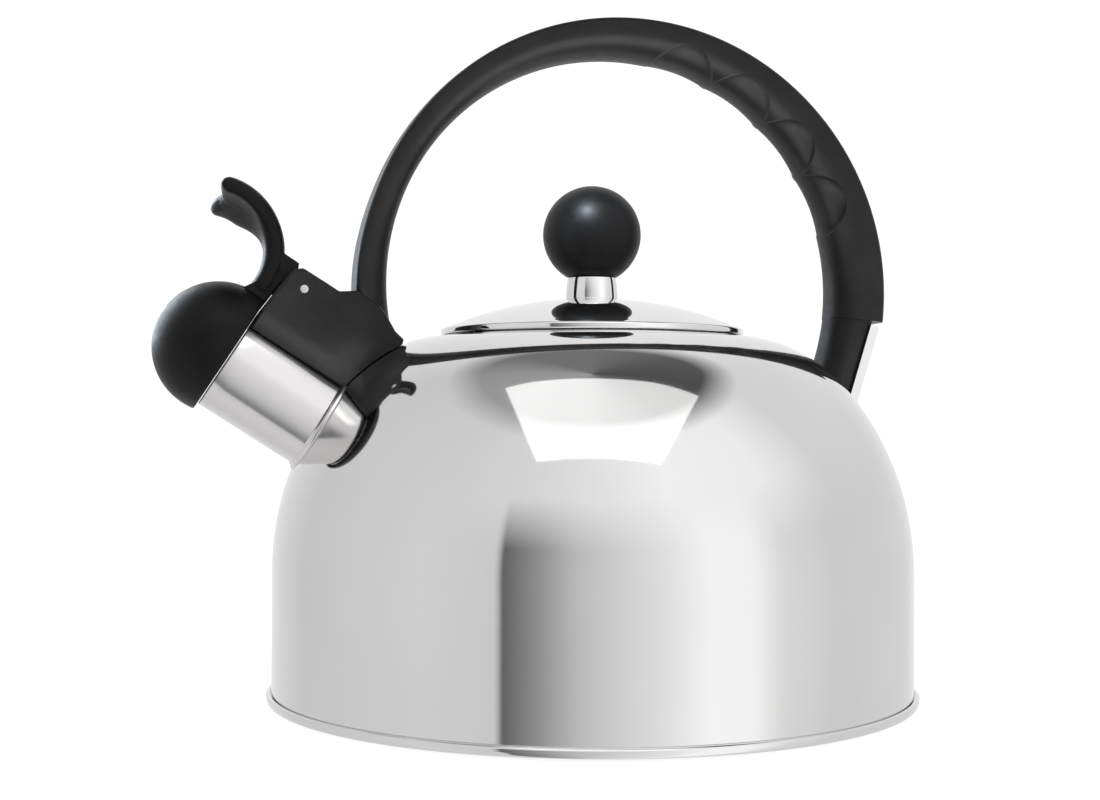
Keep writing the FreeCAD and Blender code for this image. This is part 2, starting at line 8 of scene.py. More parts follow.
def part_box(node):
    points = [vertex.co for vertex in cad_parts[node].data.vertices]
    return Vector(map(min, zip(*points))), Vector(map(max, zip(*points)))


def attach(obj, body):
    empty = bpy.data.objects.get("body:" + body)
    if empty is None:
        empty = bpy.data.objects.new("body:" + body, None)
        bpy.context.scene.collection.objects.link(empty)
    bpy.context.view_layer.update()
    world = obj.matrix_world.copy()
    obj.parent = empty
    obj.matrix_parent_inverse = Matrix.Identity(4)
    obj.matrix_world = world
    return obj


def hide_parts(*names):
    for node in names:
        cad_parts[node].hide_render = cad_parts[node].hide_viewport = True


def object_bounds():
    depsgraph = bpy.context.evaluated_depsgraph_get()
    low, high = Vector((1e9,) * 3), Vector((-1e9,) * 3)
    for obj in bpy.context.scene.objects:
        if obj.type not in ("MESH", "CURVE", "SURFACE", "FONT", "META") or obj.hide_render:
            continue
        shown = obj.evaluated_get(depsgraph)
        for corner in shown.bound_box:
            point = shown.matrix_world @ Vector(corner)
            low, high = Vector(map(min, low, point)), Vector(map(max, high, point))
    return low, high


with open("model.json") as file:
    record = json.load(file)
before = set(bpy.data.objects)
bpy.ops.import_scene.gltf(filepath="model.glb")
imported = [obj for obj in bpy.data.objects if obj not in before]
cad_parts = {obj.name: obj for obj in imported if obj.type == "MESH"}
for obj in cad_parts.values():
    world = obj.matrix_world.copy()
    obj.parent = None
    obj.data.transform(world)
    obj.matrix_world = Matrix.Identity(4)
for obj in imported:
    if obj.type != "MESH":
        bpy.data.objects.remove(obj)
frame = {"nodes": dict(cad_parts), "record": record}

cad_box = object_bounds()

# Stovetop whistling kettle: the looks. Lengths here are millimetres and go into Blender through MM.
# The origin is the centre of the underside; the spout points along -X, +Z is up.
MM = 0.001

# ---------------------------------------------------------------- driving sizes, from the frame


def span(node, axis):
    low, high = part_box(node)
    return (low[axis] / MM, high[axis] / MM)


BODY_RADIUS = 93.2
WALL_TOP = 39.0
SHOULDER_RADIUS = 80.6
CROWN_RADIUS = 42.7
SHOULDER_ANGLE = math.radians(40.4)
CROWN_ANGLE = math.radians(46.4)
SHEET = 0.8
BODY_TOP = span("body_shell", 2)[1]
NECK_RADIUS = 41.2
NECK_FOOT = 100.6
NECK_FILLET = 3
FLANGE_RADIUS = 93.85
FLANGE_DROP, FLANGE_TOP = 1.6, 0.95
RIM_RADIUS = span("base_pan", 0)[1]
RIM_FOOT, RIM_HEIGHT = span("base_pan", 2)
GROOVE_RADIUS = 93.9
GROOVE_TOP, GROOVE_FOOT = RIM_HEIGHT - 0.9, RIM_HEIGHT - 1.62
PAN_EDGE, PAN_WALL = 85, 91.9
PAN_UNDER, PAN_INSIDE = 3.0, 3.8
COVER_RADIUS, COVER_HEIGHT = 80.8, 3.0
LID_BOTTOM = span("lid_shell", 2)[0]
LID_RADIUS = span("lid_shell", 0)[1]
LID_SHOULDER = (42.0, 109.3)
LID_DOME_RADIUS = 109.0
LID_BORE = 2.2
BALL_TOP = span("knob_ball", 2)[1]
BALL_RADIUS = span("knob_ball", 0)[1]
BALL_FLAT = span("knob_ball", 2)[0]
BALL_BORE = 3.2
FERRULE_RADIUS = 7.7
FERRULE_WAIST = 0.55
SPOUT_RADIUS = 14.1
SPOUT_LIP = 1.2
SPOUT_SLOPE = math.radians(32.9)
MOUTH = Vector((-105.3, 0, 97.4))
OUT = Vector((-math.cos(SPOUT_SLOPE), 0, math.sin(SPOUT_SLOPE)))
UP = Vector((math.sin(SPOUT_SLOPE), 0, math.cos(SPOUT_SLOPE)))
ACROSS = Vector((0, 1, 0))
PIN_UP, PIN_OUT = 28.2, -5.6
PIN_RADIUS = 1.25
ARCH_CENTRE = Vector((10.1, 120.3))
ARCH_RADIUS = 80.0
GRIP_CENTRE = Vector((6.7, 121.0))
GRIP_RADIUS = 68.0
HANDLE_HALF = 10.0
FOOT_STEP = 1.1
HOUSING_HALF = 10.5
HOUSING_MIDDLE = Vector((23.5, -19.0))
HOUSING_SWELL = 1.9
SLOT_HALF, SLOT_FLOOR, SLOT_TOP, SLOT_BACK = 5.6, 20, 37.5, -14.8
FRONT_SCREW_OUT = -7
REAR_SCREW_UP = -11
BRACKET_CORNER = Vector((87.4, 0, 110.1))
BRACKET_LEAN = math.radians(17.4)


def spout_frame(up, across, out):
    """A point given from the centre of the spout's mouth."""
    return MOUTH + UP * up + ACROSS * across + OUT * out


def bracket_frame(outward, across, up):
    """A point given from the rear bracket's top outer corner."""
    outwards = Vector((math.cos(BRACKET_LEAN), 0, -math.sin(BRACKET_LEAN)))
    upwards = Vector((math.sin(BRACKET_LEAN), 0, math.cos(BRACKET_LEAN)))
    return BRACKET_CORNER + outwards * outward + ACROSS * across + upwards * up


def kettle_frame(x, y, z):
    return Vector((x, y, z))


# ---------------------------------------------------------------- outlines


def arc(centre, radius, start, end, count):
    """Points on an arc, angles in degrees."""
    steps = [math.radians(start + (end - start) * index / count) for index in range(count + 1)]
    return [(centre[0] + radius * math.cos(step), centre[1] + radius * math.sin(step))
            for step in steps]


def rounded(corners, closed=True, steps=6):
    """An outline whose corners are (x, y) or (x, y, radius of the round)."""
    points = []
    count = len(corners)
    for index, corner in enumerate(corners):
        here = Vector(corner[:2])
        radius = corner[2] if len(corner) > 2 else 0
        if radius == 0 or (not closed and index in (0, count - 1)):
            points.append(tuple(here))
            continue
        before = (Vector(corners[index - 1][:2]) - here).normalized()
        after = (Vector(corners[(index + 1) % count][:2]) - here).normalized()
        half = math.acos(max(-1, min(1, before.dot(after)))) / 2
        centre = here + (before + after).normalized() * radius / math.sin(half)
        first = here + before * radius / math.tan(half)
        last = here + after * radius / math.tan(half)
        start, end = first - centre, last - centre
        turn = math.atan2(start.cross(end), start.dot(end))
        for step in range(steps + 1):
            points.append(tuple(centre + Matrix.Rotation(turn * step / steps, 2) @ start))
    return points


def smooth_step(low, high, value):
    """Rises from 0 to 1 between low and high, or falls if high is the smaller."""
    ratio = max(0.0, min(1.0, (value - low) / (high - low)))
    return ratio * ratio * (3 - 2 * ratio)


def table(value, pairs):
    """A smooth curve through (position, size) pairs."""
    for (low, first), (high, last) in zip(pairs, pairs[1:]):
        if value <= high:
            return first + (last - first) * smooth_step(low, high, value)
    return pairs[-1][1]


# ---------------------------------------------------------------- meshes


def mesh_object(name, points, faces, sharp=32):
    mesh = bpy.data.meshes.new(name)
    mesh.from_pydata([tuple(Vector(point) * MM) for point in points], [], faces)
    mesh.validate()
    mesh.shade_smooth()
    mesh.set_sharp_from_angle(angle=math.radians(sharp))
    thing = bpy.data.objects.new(name, mesh)
    bpy.context.scene.collection.objects.link(thing)
    return thing


def lathe(name, profile, place=kettle_frame, *, segments):
    """Turn a profile of (radius, height) points about the frame's own upright axis. It closes on
    itself, or on the axis where its ends lie on it."""
    points, rings = [], []
    for radius, height in profile:
        if radius < 1e-6:
            rings.append([len(points)])
            points.append(place(0, 0, height))
            continue
        ring = []
        for index in range(segments):
            angle = 2 * math.pi * index / segments
            ring.append(len(points))
            points.append(place(radius * math.cos(angle), radius * math.sin(angle), height))
        rings.append(ring)
    faces = []
    closed = len(rings[0]) > 1 or len(rings[-1]) > 1
    pairs = list(zip(rings, rings[1:])) + ([(rings[-1], rings[0])] if closed else [])
    for low, high in pairs:
        for index in range(segments):
            after = (index + 1) % segments
            if len(low) == 1 and len(high) == 1:
                continue
            if len(low) == 1:
                faces.append((low[0], high[after], high[index]))
            elif len(high) == 1:
                faces.append((low[index], low[after], high[0]))
            else:
                faces.append((low[index], low[after], high[after], high[index]))
    return mesh_object(name, points, faces)


def zipped(start, width, flip):
    """Close a flat ring with strips that join each point to the one across from it."""
    faces = []
    for index in range(width // 2):
        loop = dict.fromkeys((index, index + 1, width - index - 1, (width - index) % width))
        face = [start + place for place in loop]
        faces.append(tuple(reversed(face) if flip else face))
    return faces


def tube_of_rings(name, rings, slim_end=False):
    """Skin closed rings of equal length, with a cap at each end. A slim end is zipped up."""
    points = [point for ring in rings for point in ring]
    width = len(rings[0])
    last = len(points) - width
    faces = [tuple(reversed(range(width)))]
    faces += zipped(last, width, False) if slim_end else [tuple(range(last, len(points)))]
    for row in range(len(rings) - 1):
        for column in range(width):
            after = (column + 1) % width
            low, high = row * width, (row + 1) * width
            faces.append((low + column, low + after, high + after, high + column))
    return mesh_object(name, points, faces)


def block(name, low, high, place=kettle_frame):
    corners = [(x, y, z) for z in (low[2], high[2]) for x, y in
               ((low[0], low[1]), (high[0], low[1]), (high[0], high[1]), (low[0], high[1]))]
    faces = [(3, 2, 1, 0), (4, 5, 6, 7), (0, 1, 5, 4), (1, 2, 6, 5), (2, 3, 7, 6), (3, 0, 4, 7)]
    return mesh_object(name, [place(*corner) for corner in corners], faces)


def rod(name, radius, start, end, place, segments=64):
    """A round rod between two points of a frame."""
    first, last = place(*start), place(*end)
    axis = (last - first).normalized()
    side = axis.orthogonal().normalized()
    other = axis.cross(side)
    rings = []
    for middle in (first, last):
        ring = []
        for index in range(segments):
            angle = 2 * math.pi * index / segments
            ring.append(middle + (side * math.cos(angle) + other * math.sin(angle)) * radius)
        rings.append(ring)
    return tube_of_rings(name, rings)


def remove(thing):
    bpy.data.objects.remove(thing, do_unlink=True)


def apply_modifiers(thing):
    bpy.context.view_layer.update()
    graph = bpy.context.evaluated_depsgraph_get()
    mesh = bpy.data.meshes.new_from_object(thing.evaluated_get(graph))
    thing.modifiers.clear()
    old = thing.data
    thing.data = mesh
    mesh.name = thing.name
    bpy.data.meshes.remove(old)


def combine(thing, operation, *tools):
    """Join or cut with solid tools, which are used up."""
    for tool in tools:
        step = thing.modifiers.new("step", "BOOLEAN")
        step.operation = operation
        step.solver = "EXACT"
        step.object = tool
        apply_modifiers(thing)
        remove(tool)
    return thing


def refine(thing, voxel, passes):
    """Even out a joined solid into one moulded skin."""
    step = thing.modifiers.new("skin", "REMESH")
    step.mode = "VOXEL"
    step.voxel_size = voxel * MM
    relax = thing.modifiers.new("relax", "SMOOTH")
    relax.factor = 0.5
    relax.iterations = passes
    apply_modifiers(thing)


def finish_shading(thing, sharp=32):
    thing.data.shade_smooth()
    thing.data.set_sharp_from_angle(angle=math.radians(sharp))


# ---------------------------------------------------------------- body of revolution

SHOULDER_CENTRE = (BODY_RADIUS - SHOULDER_RADIUS, WALL_TOP)
SHOULDER_END = (SHOULDER_CENTRE[0] + SHOULDER_RADIUS * math.cos(SHOULDER_ANGLE),
                SHOULDER_CENTRE[1] + SHOULDER_RADIUS * math.sin(SHOULDER_ANGLE))
CROWN_CENTRE = (SHOULDER_END[0] - CROWN_RADIUS * math.cos(SHOULDER_ANGLE),
                SHOULDER_END[1] - CROWN_RADIUS * math.sin(SHOULDER_ANGLE))


def body_curve(offset, fineness=1.0):
    """The outside of the body grown by offset, from the top of the wall to the crown."""
    shoulder, crown = math.degrees(SHOULDER_ANGLE), math.degrees(SHOULDER_ANGLE + CROWN_ANGLE)
    points = arc(SHOULDER_CENTRE, SHOULDER_RADIUS + offset, 0, shoulder, int(44 * fineness))
    return points + arc(CROWN_CENTRE, CROWN_RADIUS + offset, shoulder, crown, int(30 * fineness))[1:]


def body_radius_at(height):
    if height <= WALL_TOP:
        return BODY_RADIUS
    centre, radius = SHOULDER_CENTRE, SHOULDER_RADIUS
    if height > SHOULDER_END[1]:
        centre, radius = CROWN_CENTRE, CROWN_RADIUS
    rise = min(radius, height - centre[1])
    return centre[0] + math.sqrt(radius * radius - rise * rise)


def body_block(name, offset):
    """Everything inside the body's outside grown by offset."""
    curve = body_curve(offset, 0.6)
    profile = [(0, 10), (BODY_RADIUS + offset, 10)] + curve + [(0, curve[-1][1])]
    return lathe(name, profile, segments=128)


def make_body():
    wall = [(BODY_RADIUS, GROOVE_TOP + (WALL_TOP - GROOVE_TOP) * step / 8) for step in range(8)]
    low, high = RIM_HEIGHT - FLANGE_DROP, RIM_HEIGHT - FLANGE_TOP
    flange = [(BODY_RADIUS - SHEET, low), (FLANGE_RADIUS, low), (FLANGE_RADIUS, high)]
    reach, outside = NECK_RADIUS + NECK_FILLET, NECK_RADIUS + SHEET
    neck = rounded([(reach, BODY_TOP), (NECK_RADIUS, BODY_TOP, 1.3), (NECK_RADIUS, NECK_FOOT, 0.3),
                    (outside, NECK_FOOT, 0.3), (outside, BODY_TOP - SHEET, 0.5),
                    (reach, BODY_TOP - SHEET)], closed=False)
    inside = list(reversed(body_curve(-SHEET, 0.7)))
    body = lathe("kettle_body", flange + wall + body_curve(0) + neck + inside, segments=256)
    hole = rod("hole", SPOUT_RADIUS - SHEET, (0, 0, -20), (0, 0, -62), spout_frame)
    combine(body, "DIFFERENCE", hole)
    finish_shading(body)
    return body


def make_rim():
    """The floor pan, rolled round the wall's flange: a dark gap is left where it meets the wall."""
    top, out, foot = RIM_HEIGHT, RIM_RADIUS, RIM_FOOT
    gap = BODY_RADIUS + 0.25
    profile = [(0, PAN_UNDER), (PAN_EDGE, PAN_UNDER)]
    profile += rounded([(PAN_EDGE, PAN_UNDER), (PAN_EDGE + 2, PAN_UNDER, 1.5), (PAN_EDGE + 4, foot, 1.5),
                        (out - 0.3, foot, 1.0), (out, foot + 1.3, 0.9), (out, top, 0.85), (gap, top, 0.2),
                        (gap, GROOVE_TOP), (GROOVE_RADIUS, GROOVE_TOP), (GROOVE_RADIUS, GROOVE_FOOT),
                        (PAN_WALL, GROOVE_FOOT), (PAN_WALL, PAN_INSIDE)], closed=False, steps=8)[1:]
    return lathe("rolled_rim", profile + [(0, PAN_INSIDE)], segments=256)


def make_base_cover():
    flat, inside = COVER_RADIUS - 2.8, COVER_RADIUS - SHEET
    profile = [(0, 0), (60, 0), (flat, 0)]
    profile += rounded([(flat, 0), (COVER_RADIUS, 0, 0.8), (COVER_RADIUS, COVER_HEIGHT),
                        (inside, COVER_HEIGHT), (inside, SHEET), (flat, SHEET)], closed=False)[1:]
    return lathe("capsule_cover", profile + [(0, SHEET)], segments=256)


# ---------------------------------------------------------------- spout


def skin_depth(reach, angle):
    """How far down the spout a line along it, at reach from its axis, meets the body."""
    low, high = -60.0, -5.0
    for _ in range(40):
        middle = (low + high) / 2
        point = spout_frame(reach * math.cos(angle), reach * math.sin(angle), middle)
        if math.hypot(point.x, point.y) > body_radius_at(point.z):
            high = middle
        else:
            low = middle
    return (low + high) / 2


def on_skin(reach, angle, lift):
    """A point on the body round the spout, lifted off the sheet."""
    depth = skin_depth(reach, angle)
    point = spout_frame(reach * math.cos(angle), reach * math.sin(angle), depth)
    radius = math.hypot(point.x, point.y)
    slope = (body_radius_at(point.z - 0.05) - body_radius_at(point.z + 0.05)) / 0.1
    normal = Vector((point.x / radius, point.y / radius, slope)).normalized()
    return point + normal * lift


def make_spout():
    segments, rows = 128, 24
    inner = SPOUT_RADIUS - SHEET
    start = -3
    lip = rounded([(inner, start), (inner, SPOUT_LIP, 0.25), (SPOUT_RADIUS, SPOUT_LIP, 0.45),
                   (SPOUT_RADIUS, start)], closed=False)
    profiles = []
    for index in range(segments):
        angle = 2 * math.pi * index / segments
        outer_end = skin_depth(SPOUT_RADIUS, angle) - 0.35
        inner_end = skin_depth(inner, angle) - 0.75
        column = [(inner, inner_end + (start - inner_end) * row / rows) for row in range(rows)]
        column += lip
        column += [(SPOUT_RADIUS, start + (outer_end - start) * (row + 1) / rows)
                   for row in range(rows)]
        profiles.append([spout_frame(radius * math.cos(angle), radius * math.sin(angle), out)
                         for radius, out in column])
    height = len(profiles[0])
    points = [point for column in profiles for point in column]
    faces = []
    for index in range(segments):
        left, right = index * height, (index + 1) % segments * height
        for row in range(height):
            above = (row + 1) % height
            faces.append((left + row, left + above, right + above, right + row))
    return mesh_object("spout", points, faces)


def make_collar():
    """A fine bead that dresses the weld between the spout and the body."""
    segments = 160
    bead = [(0.0, -0.3), (0.0, 1.15), (0.28, 1.1), (0.5, 0.75), (0.75, 0.68), (1.1, 0.6),
            (1.35, 0.35), (1.45, -0.2)]
    points, faces = [], []
    for index in range(segments):
        angle = 2 * math.pi * index / segments
        points += [on_skin(SPOUT_RADIUS + reach, angle, lift) for reach, lift in bead]
    for index in range(segments):
        left, right = index * len(bead), (index + 1) % segments * len(bead)
        for row in range(len(bead)):
            above = (row + 1) % len(bead)
            faces.append((left + row, right + row, right + above, left + above))
    return mesh_object("spout_bead", points, faces, sharp=50)


# ---------------------------------------------------------------- lid and knob


def lid_height(radius):
    drop = math.sqrt(LID_DOME_RADIUS ** 2 - LID_SHOULDER[0] ** 2)
    return LID_SHOULDER[1] + math.sqrt(LID_DOME_RADIUS ** 2 - radius * radius) - drop


def make_lid():
    bottom, out = LID_BOTTOM, LID_RADIUS
    edge = out - 1.0
    reaches = [LID_BORE + (edge - LID_BORE) * step / 44 for step in range(45)]
    under = [(reach, lid_height(reach) - SHEET) for reach in reaches if reach < out - 2.6]
    hem = rounded([under[-1], (out - 1.9, bottom + 1.0, 0.6), (out - 1.9, bottom, 0.2),
                   (out, bottom, 0.6), (out, lid_height(out) + 0.1, 0.65),
                   (edge - 1, lid_height(edge - 1))], closed=False, steps=8)
    over = [(reach, lid_height(reach)) for reach in reversed(reaches) if reach < edge - 1]
    return lathe("lid_dome", under + hem[1:] + over, segments=256)


def make_ferrule():
    foot, top = lid_height(FERRULE_RADIUS) - 0.1, BALL_FLAT - 0.05
    waist, height = foot + 1.2, BALL_FLAT - foot - 1.6
    profile = rounded([(LID_BORE, foot), (FERRULE_RADIUS + 0.05, foot, 0.35), (FERRULE_RADIUS, waist)],
                      closed=False)
    profile += [(FERRULE_RADIUS - FERRULE_WAIST * (step / 12) ** 1.6, waist + height * step / 12)
                for step in range(1, 13)]
    profile += [(6.9, top), (LID_BORE, top)]
    return lathe("knob_collar", profile, segments=128)


def make_ball():
    centre = BALL_TOP - BALL_RADIUS
    drop = centre - BALL_FLAT
    start = -math.degrees(math.asin(drop / BALL_RADIUS))
    sphere = arc((0, centre), BALL_RADIUS, start + 1.5, 90, 60)
    flat = math.sqrt(BALL_RADIUS ** 2 - drop ** 2) + 0.1
    edge = rounded([(BALL_BORE, BALL_FLAT), (flat, BALL_FLAT, 0.4), sphere[0]], closed=False)
    bore = [(0, centre - 1), (BALL_BORE, centre - 1)]
    return lathe("ball_knob", bore + edge[:-1] + sphere[:-1] + [(0, BALL_TOP)], segments=160)


# ---------------------------------------------------------------- handle

SCOOPS = [(84.0, 67.5), (67.5, 50.3), (50.3, 33.2), (33.2, 15.6)]
SCOOP_DEPTH = 1.6
SCOOP_REACH = 0.95
STEP_ANGLE = -6.3
FOOT_CORNER = Vector((86.3, 110.4))
FOOT_NORMAL = Vector((math.cos(BRACKET_LEAN), -math.sin(BRACKET_LEAN)))


def arch_limits(angle):
    """The arch's outer and inner distances from its centre, in a direction."""
    ray = Vector((math.cos(angle), math.sin(angle)))
    shift = GRIP_CENTRE - ARCH_CENTRE
    inner = ray.dot(shift) + math.sqrt(GRIP_RADIUS ** 2 - shift.length_squared + ray.dot(shift) ** 2)
    outer = ARCH_RADIUS + 0.9 * smooth_step(158, 182, math.degrees(angle))
    if math.degrees(angle) < STEP_ANGLE:
        outer = (FOOT_CORNER - ARCH_CENTRE).dot(FOOT_NORMAL) / ray.dot(FOOT_NORMAL)
    return outer, inner


def arch_outline(thick, half, edge, depth):
    """Half of a section, from the middle of the back round to the middle of the grip: how far to
    the side and how deep from the back. A scoop of this depth runs from the grip's middle out to
    its edge, given as a share of the way from the grip's middle to the flank."""
    corner = 2.3
    grip = min(0.64 * thick, 8.6)
    points = [(step / 6 * (half - corner), 0.25 * (step / 6) ** 2) for step in range(7)]
    for step in range(1, 10):
        turn = math.pi / 2 * step / 9
        points.append((half - corner + corner * math.sin(turn),
                       0.25 + corner - corner * math.cos(turn)))
    flank = thick - grip - corner - 0.25
    points += [(half, 0.25 + corner + flank * step / 3) for step in range(1, 4)]
    shares = [1 + (edge - 1) * step / 10 for step in range(1, 11)]
    shares += [edge * (1 - (step / 20) ** 1.3) for step in range(1, 21)]
    for share in shares:
        turn = math.pi / 2 * (1 - share)
        side = half * math.cos(turn) ** (2 / 2.35)
        deep = thick - grip + grip * math.sin(turn) ** (2 / 2.35)
        across = min(1, share / edge)
        scoop = depth * (0.3 + 1.1 * across ** 2) * (1 - across ** 8)
        inward = Vector((-side, thick * 0.45 - deep)).normalized() * scoop
        points.append((side + inward.x, deep + inward.y))
    return points


def arch_ring(degrees):
    angle = math.radians(degrees)
    outer, inner = arch_limits(angle)
    half = table(degrees, [(-30, HANDLE_HALF), (100, HANDLE_HALF), (190, HANDLE_HALF - 1.0)])
    if degrees < STEP_ANGLE:
        half -= FOOT_STEP
    edge, depth = 0.03, 0.0
    for high, low in SCOOPS:
        if low < degrees < high:
            room = 1 - ((2 * degrees - high - low) / (high - low)) ** 2
            edge, depth = max(edge, SCOOP_REACH * math.sqrt(room)), SCOOP_DEPTH * room
    outline = arch_outline(outer - inner, half, edge, depth)
    whole = outline + [(-side, deep) for side, deep in reversed(outline[1:-1])]
    return [Vector((ARCH_CENTRE.x + (outer - deep) * math.cos(angle), side,
                    ARCH_CENTRE.y + (outer - deep) * math.sin(angle))) for side, deep in whole]


def make_arch():
    turns = {-26 + 1.1 * index for index in range(38)} | {84 + 1.1 * index for index in range(105)}
    turns |= {STEP_ANGLE - 0.01, STEP_ANGLE + 0.01}
    for high, low in SCOOPS:
        turns |= {(high + low - (high - low) * math.cos(math.pi * step / 26)) / 2
                  for step in range(27)}
    return tube_of_rings("arch", [arch_ring(turn) for turn in sorted(turns)])


def make_housing():
    """The hinge housing: an outline in the spout's (up, out) plane with softly swelling sides."""
    outline = rounded([(11, 1.3), (16.1, 1.3), (31.2, 0.1, 1.2), (33.1, -2.2, 1.6),
                       (33.3, -14.0, 1.5), (36.6, -18.4, 1.0), (36.4, -26, 3), (34.4, -30.2, 2),
                       (32.7, -33.4), (32.1, -36.6, 0.6), (24, -39), (11, -34)], steps=5)
    edge = []
    for index, corner in enumerate(outline):
        here, after = Vector(corner), Vector(outline[(index + 1) % len(outline)])
        steps = max(1, int((after - here).length / 1.2))
        edge += [here.lerp(after, step / steps) for step in range(steps)]
    shrinks = [(1, 0), (1, 0.86), (0.992, 0.93), (0.975, 0.975)]
    shrinks += [(0.95 - 0.95 * step / 9, 1) for step in range(9)]
    rings = []
    for side in (-1, 1):
        layers = []
        for scale, reach in shrinks:
            layer = []
            for place in edge:
                up, out = HOUSING_MIDDLE + (place - HOUSING_MIDDLE) * scale
                swell = HOUSING_SWELL * math.exp(-((up - 25) / 9) ** 2 - ((out + 26) / 9.5) ** 2)
                swell *= 1 - scale ** 6
                tuck = 0.8 * smooth_step(17.5, 12.5, up)
                tuck += 1.3 * smooth_step(27, 35, up) * smooth_step(-10, -19, out)
                layer.append(spout_frame(up, side * ((HOUSING_HALF - tuck) * reach + swell), out))
            layers.append(layer)
        rings += list(reversed(layers[1:])) if side < 0 else layers
    return tube_of_rings("housing", rings)


def make_handle():
    handle = make_arch()
    combine(handle, "UNION", make_housing())
    slot = block("slot", (SLOT_FLOOR, -SLOT_HALF, SLOT_BACK), (SLOT_TOP, SLOT_HALF, 10), spout_frame)
    pin = rod("pin_bore", PIN_RADIUS + 0.03, (PIN_UP, -20, PIN_OUT), (PIN_UP, 20, PIN_OUT),
              spout_frame)
    room = rod("spout_room", SPOUT_RADIUS + 0.2, (0, 0, 20), (0, 0, -60), spout_frame, 128)
    saddle = block("saddle_room", (10, -7.1, -14.2), (16.4, 7.1, 0.3), spout_frame)
    screw = rod("screw_bore", 1.8, (12, 0, FRONT_SCREW_OUT), (24, 0, FRONT_SCREW_OUT), spout_frame)
    insert = rod("insert_bore", 3.25, (-11.4, 0, REAR_SCREW_UP), (3, 0, REAR_SCREW_UP), bracket_frame)
    combine(handle, "DIFFERENCE", body_block("trim", 0.25), room, slot, saddle, pin, screw, insert)
    handle.name = "handle_moulding"
    finish_shading(handle, 19)
    return handle


# ---------------------------------------------------------------- whistle cap and lever

CAP_RADIUS, CAP_UP, CAP_OUT, CAP_FACE = 18.6, 2.3, 4.8, 1.42
CAP_WALL, CAP_BORE, CAP_STEP = 2.0, 14.45, 5.5
ARM_UP, ARM_OUT = 24.0, 22.0
ARM_BACK, ARM_FRONT = 20.6, 14.6
ARM_START = -96
ARM_HALF, PADDLE_HALF = 6.0, 11.0
KNUCKLE_HALF, SPRING_HALF = 5.3, 2.2
DISC_RADIUS = 13.38


def cap_frame(x, y, z):
    return spout_frame(CAP_UP + x, y, z)


def paddle_ring(along):
    """A section of the thumb lever, from its root (0) to its tip (1)."""
    half = ARM_HALF + (PADDLE_HALF - ARM_HALF) * smooth_step(0.3, 0.85, along)
    taper = math.sqrt(max(0.0, 1 - (max(0.0, along - 0.93) / 0.07) ** 2)) * 0.97 + 0.03
    ring = []
    for index in range(56):
        turn = 2 * math.pi * index / 56
        across = math.copysign(abs(math.cos(turn)) ** 0.62, math.cos(turn))
        thick = math.copysign(abs(math.sin(turn)) ** 0.62, math.sin(turn)) * taper
        far = (across + 1) / 2
        tip = 24.5 - 4 * math.exp(-((across - 0.1) / 0.35) ** 2) + 8 * smooth_step(0.45, 1.0, far)
        degrees = ARM_START + along * (tip - ARM_START)
        drop = 4.9 * smooth_step(-58, -5, degrees) * smooth_step(0.1, 1.0, far)
        dish = 0.9 * (1 - across * across) * smooth_step(-45, 0, degrees)
        reach = (ARM_BACK + ARM_FRONT) / 2 + thick * (ARM_BACK - ARM_FRONT) / 2 - drop
        if thick < 0:
            reach += dish
        angle = math.radians(degrees)
        side = across * half * (0.9 + 0.1 * taper)
        ring.append(spout_frame(ARM_UP + reach * math.cos(angle), side,
                                ARM_OUT + reach * math.sin(angle)))
    return ring


def prism(name, outline, half, place):
    """A plate with an outline of (up, out) points, centred across."""
    rings = [[place(up, side, out) for up, out in outline] for side in (-half, half)]
    return tube_of_rings(name, rings)


